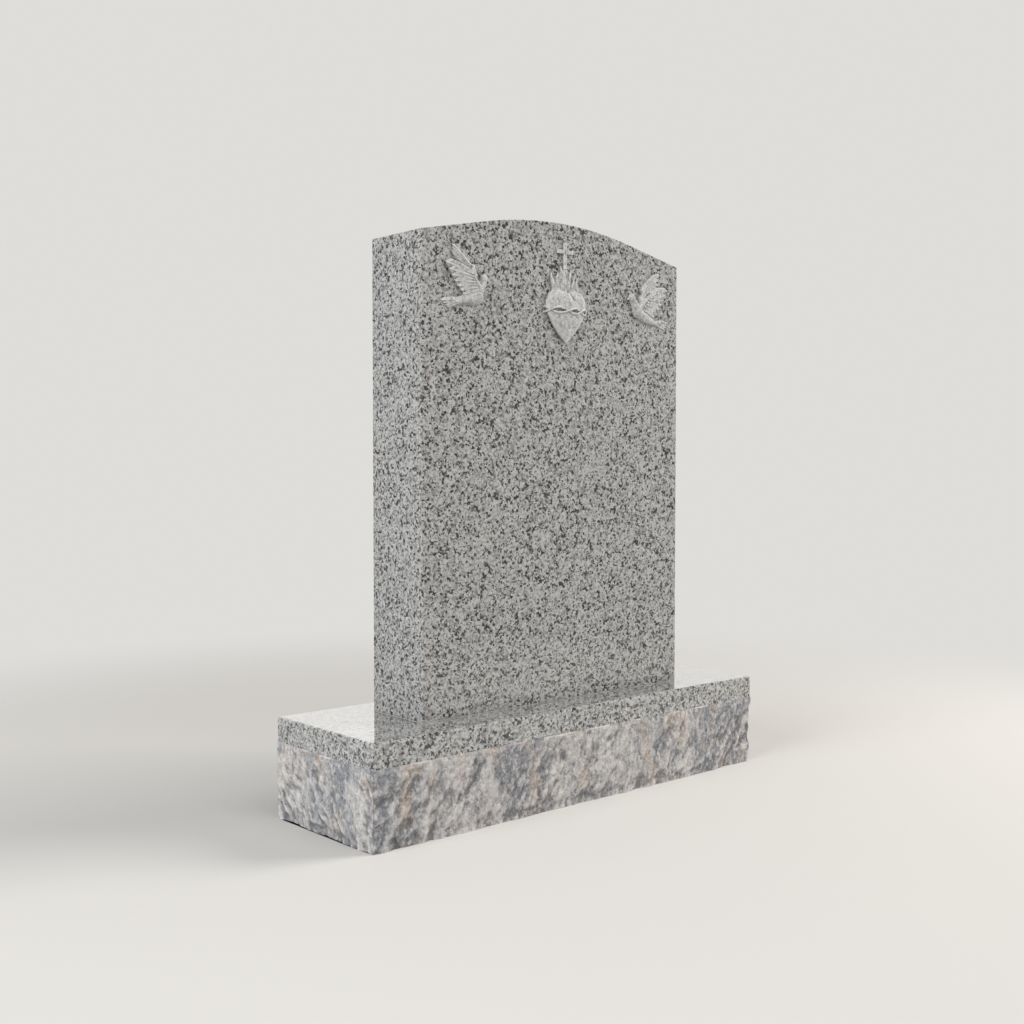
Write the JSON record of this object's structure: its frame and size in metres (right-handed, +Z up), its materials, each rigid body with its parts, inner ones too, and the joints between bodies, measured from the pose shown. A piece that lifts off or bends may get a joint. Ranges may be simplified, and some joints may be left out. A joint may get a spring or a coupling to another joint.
{
  "type": "headstone",
  "caption": "Polished grey granite headstone: an arched upright tablet with carved doves and a flaming, thorn-crowned heart, standing on a base with rock-pitched sides.",
  "frame": {"origin": "centre of the base's underside, at ground level", "axes": "+X to the right seen from the carved front, +Y from the front to the back, +Z up"},
  "size_m": [1.024, 0.313, 1.1306],
  "materials": {
    "polished_granite": "grey granite with black and mid-grey flecks, mirror polished",
    "base_granite": "the same granite, polished on its top and margin and rock pitched on its sides",
    "carved_granite": "the same granite, carved and left frosted",
    "setting_compound": "matt grey setting compound"
  },
  "bodies": {
    "root": {"base": "base_granite", "setting_bed": "setting_compound", "tablet": "polished_granite", "left_dove_body": "carved_granite", "left_dove_near_wing": "carved_granite", "left_dove_far_wing": "carved_granite", "left_dove_tail": "carved_granite", "right_dove_body": "carved_granite", "right_dove_near_wing": "carved_granite", "right_dove_far_wing": "carved_granite", "right_dove_tail": "carved_granite", "heart": "carved_granite", "thorn_crown": "carved_granite", "flames": "carved_granite", "cross": "carved_granite"}
  },
  "joints": []
}
